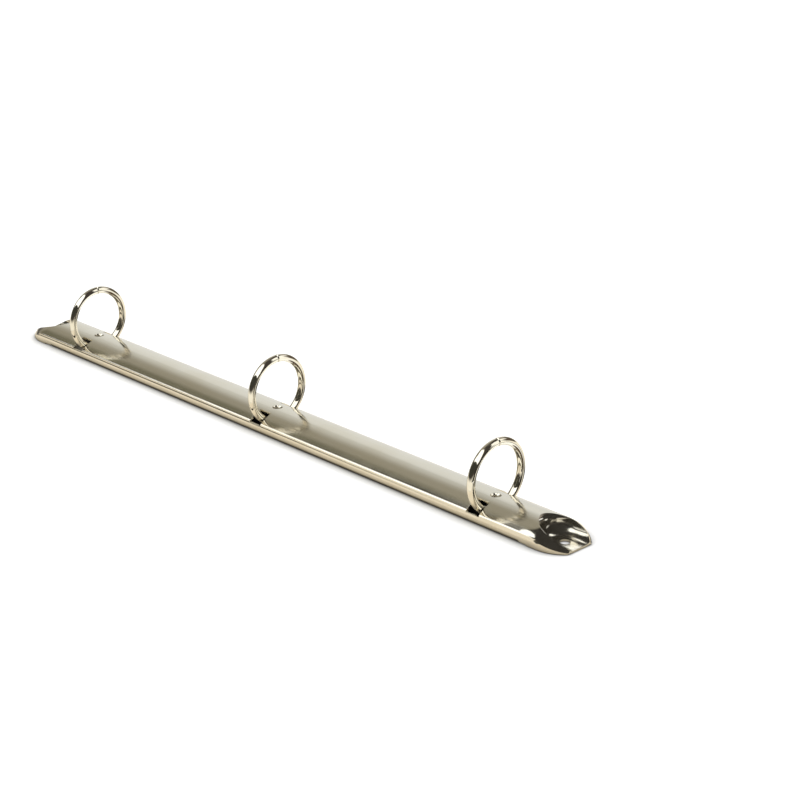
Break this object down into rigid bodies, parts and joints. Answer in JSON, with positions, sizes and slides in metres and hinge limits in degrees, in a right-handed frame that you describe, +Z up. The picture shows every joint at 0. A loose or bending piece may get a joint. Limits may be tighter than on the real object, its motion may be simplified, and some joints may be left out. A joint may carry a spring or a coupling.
{
  "type": "binder ring mechanism",
  "caption": "Lever-less ring mechanism for a binder: a sprung arched steel housing with wire rings that part in the middle as two hinge plates rock beneath it.",
  "frame": {"origin": "bottom centre of the bounding box: the middle of the housing on the surface that it is riveted to", "axes": "+X along the housing from ring 1 to ring 3, +Y across it from the front lip to the back lip, +Z up through the rings"},
  "size_m": [0.2884, 0.0264, 0.0272],
  "materials": {
    "housing_plate": "bright nickel plating over pressed sheet steel",
    "hinge_steel": "plain nickel-plated strip, satin",
    "ring_wire": "polished nickel plating over steel wire"
  },
  "bodies": {
    "housing": {"housing": "housing_plate"},
    "front_half": {"hinge_plate_front": "hinge_steel", "ring_1_front": "ring_wire", "ring_2_front": "ring_wire", "ring_3_front": "ring_wire"},
    "back_half": {"hinge_plate_back": "hinge_steel", "ring_1_back": "ring_wire", "ring_2_back": "ring_wire", "ring_3_back": "ring_wire"}
  },
  "joints": [
    {"name": "front_hinge", "type": "hinge", "parent": "housing", "child": "front_half", "pos_m": [0, -0.0088, 0.0014], "axis": [1, 0, 0], "range_deg": [0, 20]},
    {"name": "back_hinge", "type": "hinge", "parent": "housing", "child": "back_half", "pos_m": [0, 0.0088, 0.0014], "axis": [-1, 0, 0], "range_deg": [0, 20]}
  ],
  "couplings": [
    {"joint": "back_hinge", "follows": "front_hinge", "ratio": 1}
  ]
}
